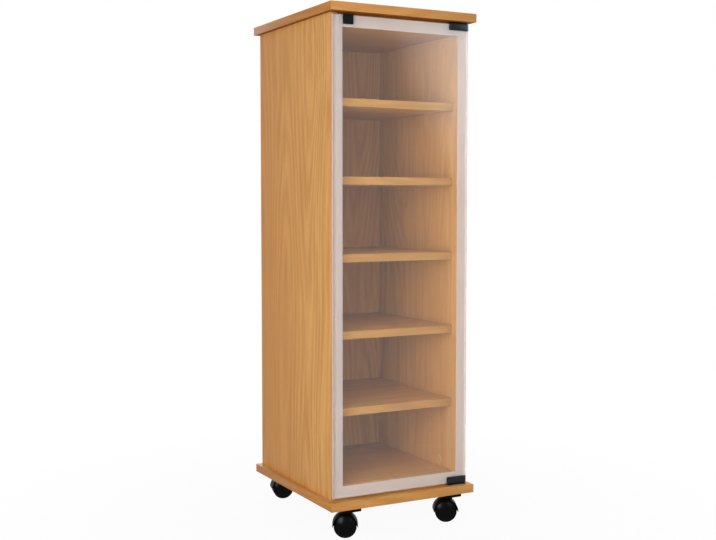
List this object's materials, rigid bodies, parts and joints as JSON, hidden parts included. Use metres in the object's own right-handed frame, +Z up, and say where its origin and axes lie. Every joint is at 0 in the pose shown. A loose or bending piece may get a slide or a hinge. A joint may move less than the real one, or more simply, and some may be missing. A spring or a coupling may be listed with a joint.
{
  "type": "cd storage cabinet",
  "caption": "Tall narrow board cabinet on swivel casters, with shelves for disc cases behind one full-height glass door on corner pivots.",
  "frame": {"origin": "on the floor under the middle of the base panel", "axes": "+Z up, -Y out of the glass door, +X to the right of someone who faces the door"},
  "size_m": [0.312, 0.358, 0.9865],
  "materials": {
    "beech_board": "satin melamine with a beech grain",
    "hardboard": "painted hardboard",
    "dowel_wood": "raw beech",
    "door_glass": "clear with a satin border",
    "hinge_black": "semi-gloss black",
    "clip_black": "black spring steel",
    "steel": "zinc plated",
    "cam_zinc": "die-cast zinc",
    "magnet": "ferrite",
    "bush_nylon": "moulded",
    "cap_plastic": "beech coloured",
    "catch_plastic": "moulded brown",
    "pad_rubber": "soft",
    "buffer_clear": "clear soft",
    "caster_black": "moulded black",
    "wheel_black": "polished black"
  },
  "bodies": {
    "cabinet": {"top_panel": "beech_board", "base_panel": "beech_board", "side_panel_left": "beech_board", "side_panel_right": "beech_board", "ceiling_board": "beech_board", "floor_board": "beech_board", "shelf_1": "beech_board", "shelf_2": "beech_board", "shelf_3": "beech_board", "shelf_4": "beech_board", "shelf_5": "beech_board", "back_panel": "hardboard", "dowels": "dowel_wood", "shelf_pins": "steel", "cam_bolts": "steel", "board_screws": "steel", "caster_screws": "steel", "catch_screws": "steel", "kingpins": "steel", "kingpin_rings": "steel", "pole_plates": "steel", "cam_discs": "cam_zinc", "catch_magnet": "magnet", "pivot_bush_top": "bush_nylon", "pivot_bush_bottom": "bush_nylon", "cam_caps": "cap_plastic", "catch_housing": "catch_plastic", "door_buffers": "buffer_clear", "caster_plate_front_left": "caster_black", "caster_plate_front_right": "caster_black", "caster_plate_rear_left": "caster_black", "caster_plate_rear_right": "caster_black"},
    "door": {"glass_pane": "door_glass", "hinge_clamp_top": "hinge_black", "hinge_clamp_bottom": "hinge_black", "pivot_pin_top": "steel", "pivot_pin_bottom": "steel", "clamp_pads": "pad_rubber", "clamp_screws": "steel", "catch_clip": "clip_black", "clip_liner": "pad_rubber"},
    "caster_front_left": {"hood_front_left": "caster_black", "axle_front_left": "steel"},
    "caster_front_right": {"hood_front_right": "caster_black", "axle_front_right": "steel"},
    "caster_rear_left": {"hood_rear_left": "caster_black", "axle_rear_left": "steel"},
    "caster_rear_right": {"hood_rear_right": "caster_black", "axle_rear_right": "steel"},
    "wheel_front_left_1": {"wheel_front_left_1": "wheel_black"},
    "wheel_front_left_2": {"wheel_front_left_2": "wheel_black"},
    "wheel_front_right_1": {"wheel_front_right_1": "wheel_black"},
    "wheel_front_right_2": {"wheel_front_right_2": "wheel_black"},
    "wheel_rear_left_1": {"wheel_rear_left_1": "wheel_black"},
    "wheel_rear_left_2": {"wheel_rear_left_2": "wheel_black"},
    "wheel_rear_right_1": {"wheel_rear_right_1": "wheel_black"},
    "wheel_rear_right_2": {"wheel_rear_right_2": "wheel_black"}
  },
  "joints": [
    {"name": "door_hinge", "type": "hinge", "parent": "cabinet", "child": "door", "pos_m": [0.1405, -0.1625, 0.5215], "axis": [0, 0, 1], "range_deg": [0, 180]},
    {"name": "swivel_front_left", "type": "hinge", "parent": "cabinet", "child": "caster_front_left", "pos_m": [-0.111, -0.156, 0.04], "axis": [0, 0, 1], "continuous": true},
    {"name": "swivel_front_right", "type": "hinge", "parent": "cabinet", "child": "caster_front_right", "pos_m": [0.111, -0.156, 0.04], "axis": [0, 0, 1], "continuous": true},
    {"name": "swivel_rear_left", "type": "hinge", "parent": "cabinet", "child": "caster_rear_left", "pos_m": [-0.111, 0.156, 0.04], "axis": [0, 0, 1], "continuous": true},
    {"name": "swivel_rear_right", "type": "hinge", "parent": "cabinet", "child": "caster_rear_right", "pos_m": [0.111, 0.156, 0.04], "axis": [0, 0, 1], "continuous": true},
    {"name": "spin_front_left_1", "type": "hinge", "parent": "caster_front_left", "child": "wheel_front_left_1", "pos_m": [-0.1204, -0.16344, 0.0215], "axis": [-0.454, -0.891, 0], "continuous": true},
    {"name": "spin_front_left_2", "type": "hinge", "parent": "caster_front_left", "child": "wheel_front_left_2", "pos_m": [-0.11051, -0.14402, 0.0215], "axis": [-0.454, -0.891, 0], "continuous": true},
    {"name": "spin_front_right_1", "type": "hinge", "parent": "caster_front_right", "child": "wheel_front_right_1", "pos_m": [0.10173, -0.16361, 0.0215], "axis": [-0.4384, -0.8988, 0], "continuous": true},
    {"name": "spin_front_right_2", "type": "hinge", "parent": "caster_front_right", "child": "wheel_front_right_2", "pos_m": [0.11128, -0.14401, 0.0215], "axis": [-0.4384, -0.8988, 0], "continuous": true},
    {"name": "spin_rear_left_1", "type": "hinge", "parent": "caster_rear_left", "child": "wheel_rear_left_1", "pos_m": [-0.10351, 0.16537, 0.0215], "axis": [0.2419, 0.9703, 0], "continuous": true},
    {"name": "spin_rear_left_2", "type": "hinge", "parent": "caster_rear_left", "child": "wheel_rear_left_2", "pos_m": [-0.10879, 0.14421, 0.0215], "axis": [0.2419, 0.9703, 0], "continuous": true},
    {"name": "spin_rear_right_1", "type": "hinge", "parent": "caster_rear_right", "child": "wheel_rear_right_1", "pos_m": [0.11483, 0.16736, 0.0215], "axis": [-0.1045, 0.9945, 0], "continuous": true},
    {"name": "spin_rear_right_2", "type": "hinge", "parent": "caster_rear_right", "child": "wheel_rear_right_2", "pos_m": [0.11711, 0.14568, 0.0215], "axis": [-0.1045, 0.9945, 0], "continuous": true}
  ]
}
